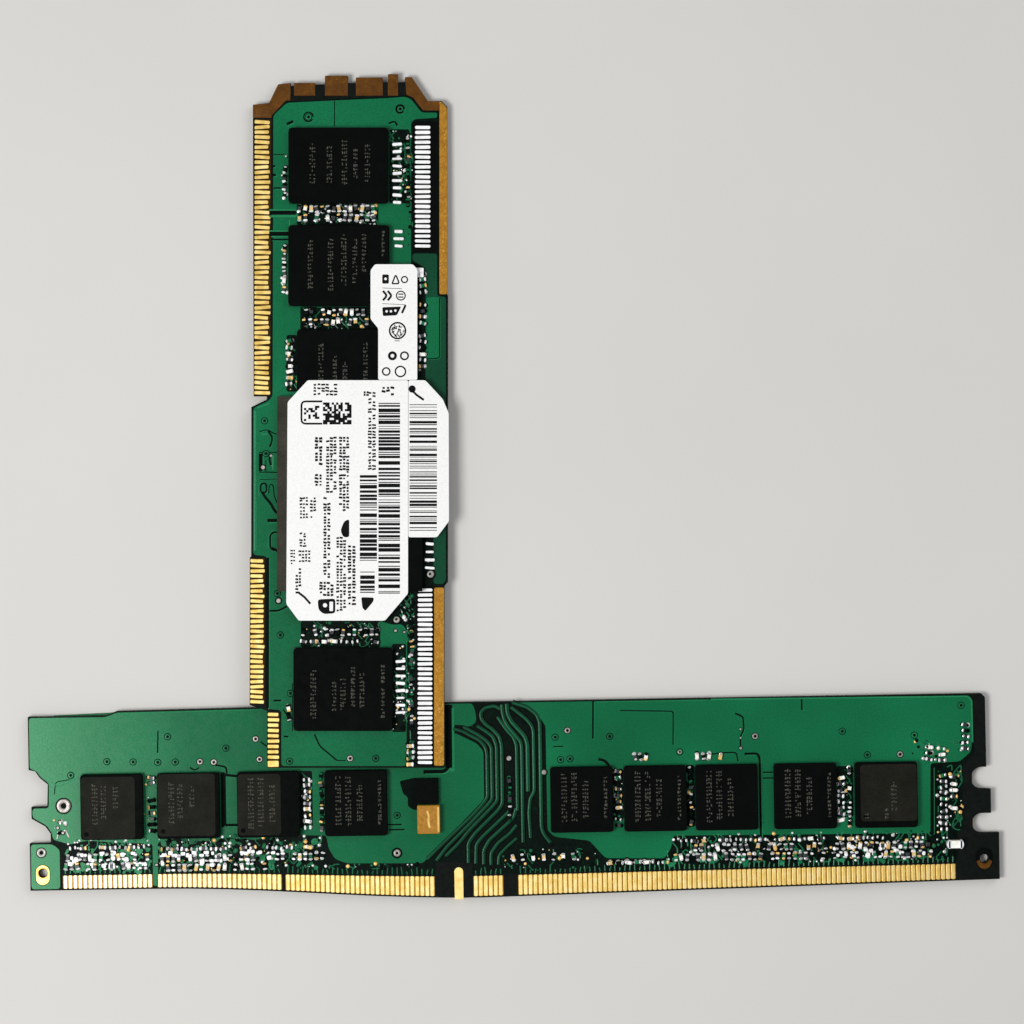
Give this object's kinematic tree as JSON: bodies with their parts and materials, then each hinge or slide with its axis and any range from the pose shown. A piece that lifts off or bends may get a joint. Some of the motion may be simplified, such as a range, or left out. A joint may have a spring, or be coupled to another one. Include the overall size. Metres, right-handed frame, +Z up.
{
  "type": "ram module",
  "caption": "Pair of memory modules laid in an L: a long socketed board, and a second board lying across its far edge that lifts off.",
  "frame": {"origin": "on the resting surface, under the middle of the whole pair's box", "axes": "+X along the long board's contact edge, +Y away from that edge towards the upper board's far end, +Z up out of the chips' side"},
  "size_m": [0.1334, 0.1136, 0.0038],
  "materials": {
    "laminate": "dark glass-epoxy laminate, cut edges",
    "solder_mask": "semi-gloss green solder mask over copper",
    "black_mask": "black solder mask",
    "copper_plane": "bare copper foil",
    "bare_copper": "oxidised bare copper",
    "rail_copper": "aged gold-coloured plating",
    "gold": "hard gold plating",
    "ring_plating": "tinned ring",
    "tracks": "solder mask over copper tracks",
    "via_plug": "mask-plugged via",
    "chip_mould": "fine matt epoxy moulding compound",
    "substrate": "green package substrate",
    "silicon": "polished silicon",
    "solder": "dull tin solder",
    "tantalum": "moulded amber resin",
    "ceramic": "fired ceramic with tinned ends",
    "resistor": "dark glazed film with tinned ends",
    "lid": "dark grey coated metal lid",
    "white_pads": "bright tinned pads",
    "label": null
  },
  "bodies": {
    "lower_module": {"lower_laminate_back": "laminate", "lower_ground_plane": "copper_plane", "lower_laminate_front": "laminate", "lower_mask_front": "solder_mask", "lower_mask_back": "solder_mask", "lower_contacts_front": "gold", "lower_contacts_back": "gold", "lower_key_contact": "gold", "lower_corner_pads": "gold", "lower_vias": "via_plug", "lower_test_rings": "ring_plating", "lower_track_bundle": "tracks", "lower_dram_1": "chip_mould", "lower_dram_2": "chip_mould", "lower_dram_3": "chip_mould", "lower_dram_4": "chip_mould", "lower_dram_5": "chip_mould", "lower_dram_6": "chip_mould", "lower_dram_7": "chip_mould", "lower_dram_8": "chip_mould", "lower_dram_9": "chip_mould", "lower_dram_substrates": "substrate", "lower_dram_dies": "silicon", "lower_solder_balls": "solder", "spd_chip": "chip_mould", "tantalum_capacitor": "tantalum", "tantalum_terminals": "solder", "lower_capacitors": "ceramic", "lower_resistors": "resistor"},
    "upper_module": {"upper_laminate_back": "laminate", "upper_ground_plane": "copper_plane", "upper_laminate_front": "laminate", "upper_mask_front": "solder_mask", "upper_mask_back": "solder_mask", "upper_contacts_long": "gold", "upper_contacts_short": "gold", "upper_contacts_end": "gold", "upper_contacts_back": "gold", "upper_copper_border": "bare_copper", "upper_copper_rails": "rail_copper", "upper_pad_beds": "black_mask", "upper_pads": "white_pads", "upper_dram_1": "chip_mould", "upper_dram_2": "chip_mould", "upper_register_chip": "chip_mould", "upper_dram_3": "chip_mould", "upper_dram_substrates": "substrate", "upper_dram_dies": "silicon", "upper_solder_balls": "solder", "buffer_substrate": "substrate", "buffer_mould": "chip_mould", "buffer_lid": "lid", "label_main": "label", "label_side": "label", "label_top": "label", "upper_capacitors": "ceramic", "upper_resistors": "resistor", "upper_vias": "via_plug"}
  },
  "joints": [
    {"name": "lift_off", "type": "slide", "parent": "lower_module", "child": "upper_module", "axis": [0, 0, 1], "range_m": [0, 0.04]}
  ]
}
